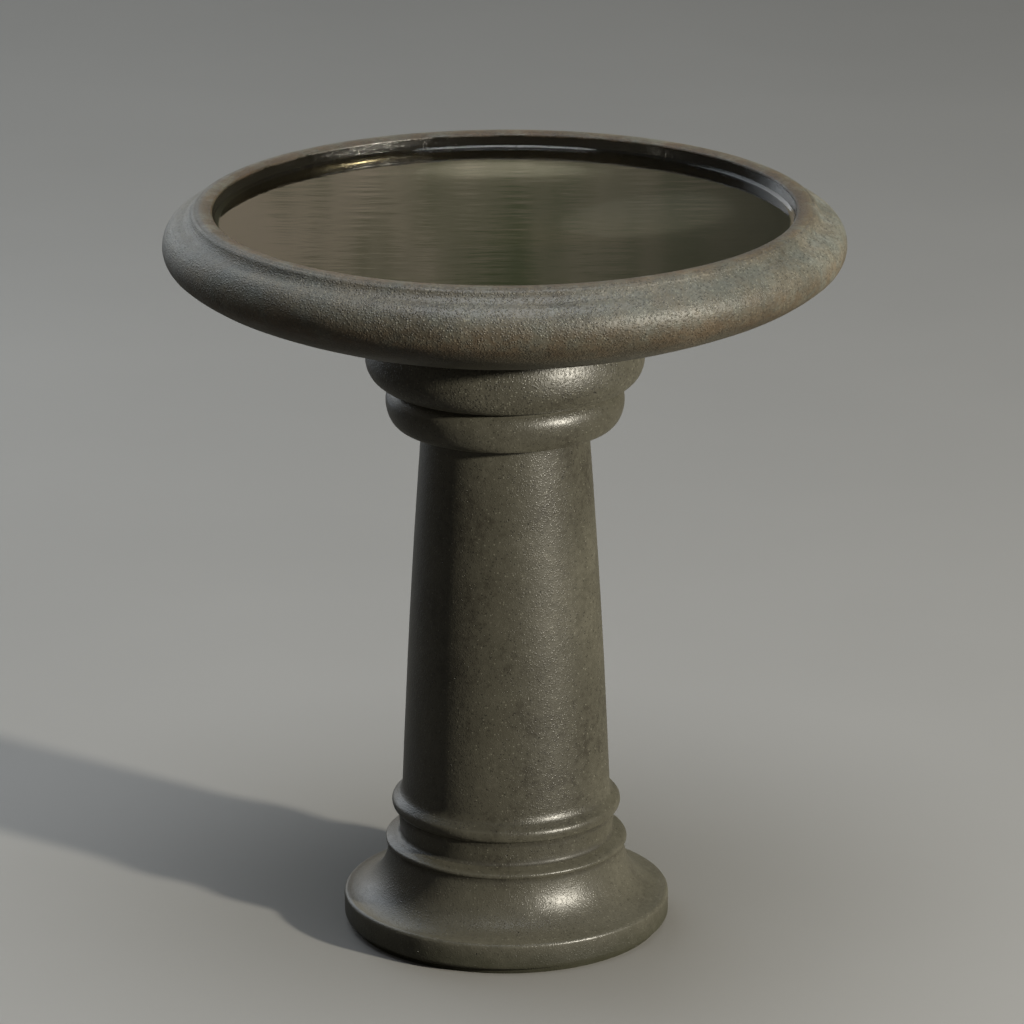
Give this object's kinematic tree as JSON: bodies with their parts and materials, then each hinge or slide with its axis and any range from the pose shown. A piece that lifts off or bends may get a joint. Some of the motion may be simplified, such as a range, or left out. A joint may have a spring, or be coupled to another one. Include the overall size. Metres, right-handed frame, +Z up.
{
  "type": "bird bath",
  "caption": "Garden bird bath: a shallow round bowl with a rolled rim that lifts off a turned, hollow pedestal.",
  "frame": {"origin": "centre of the pedestal's foot, on the ground", "axes": "+Z up along the axis of the turned shapes; the bath is round, so +X and +Y are any two level directions"},
  "size_m": [0.5099, 0.51, 0.567],
  "materials": {
    "bowl_stone": "satin, lightly pitted cast stone",
    "pedestal_stone": "satin, waxed cast stone",
    "pad_rubber": "matt",
    "water": "still, slightly peaty water"
  },
  "bodies": {
    "pedestal": {"pedestal": "pedestal_stone", "levelling_pads": "pad_rubber"},
    "bowl": {"bowl": "bowl_stone"}
  },
  "joints": [
    {"name": "bowl_lift", "type": "slide", "parent": "pedestal", "child": "bowl", "axis": [0, 0, 1], "range_m": [0, 0.12]}
  ]
}
